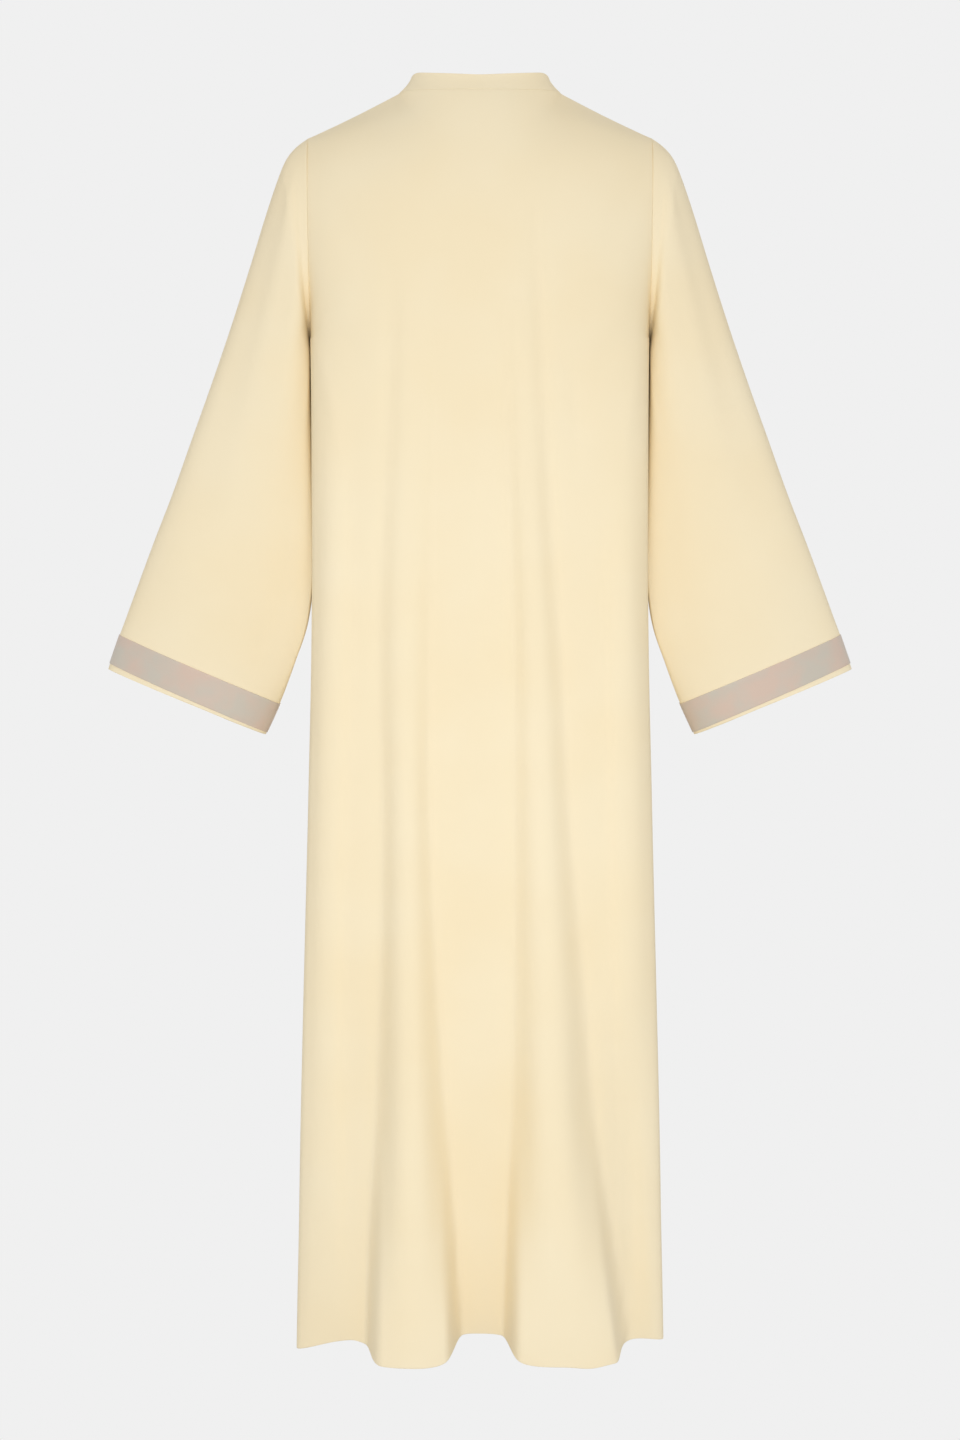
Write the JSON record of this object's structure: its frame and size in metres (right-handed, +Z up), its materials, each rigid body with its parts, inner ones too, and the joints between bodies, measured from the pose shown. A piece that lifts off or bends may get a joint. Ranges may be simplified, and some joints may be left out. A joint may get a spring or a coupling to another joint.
{
  "type": "abaya",
  "caption": "Long closed abaya with a small stand collar, straight set-in sleeves, a satin band on each cuff and a skirt that hangs in deep soft folds, filled out as worn.",
  "frame": {"origin": "centre of the root of the neck, where the wearer's neck and shoulders hold the garment", "axes": "+Z up, +X to the garment's own left side, the garment's front faces -Y"},
  "size_m": [0.8198, 0.2339, 1.4008],
  "materials": {
    "cream_cloth": "smooth matte",
    "taupe_satin": "soft satin"
  },
  "bodies": {
    "root": {"back": "cream_cloth", "front_left": "cream_cloth", "front_right": "cream_cloth", "sleeve_left": "cream_cloth", "sleeve_right": "cream_cloth", "cuff_band_left": "taupe_satin", "cuff_band_right": "taupe_satin", "collar": "cream_cloth"}
  },
  "joints": []
}
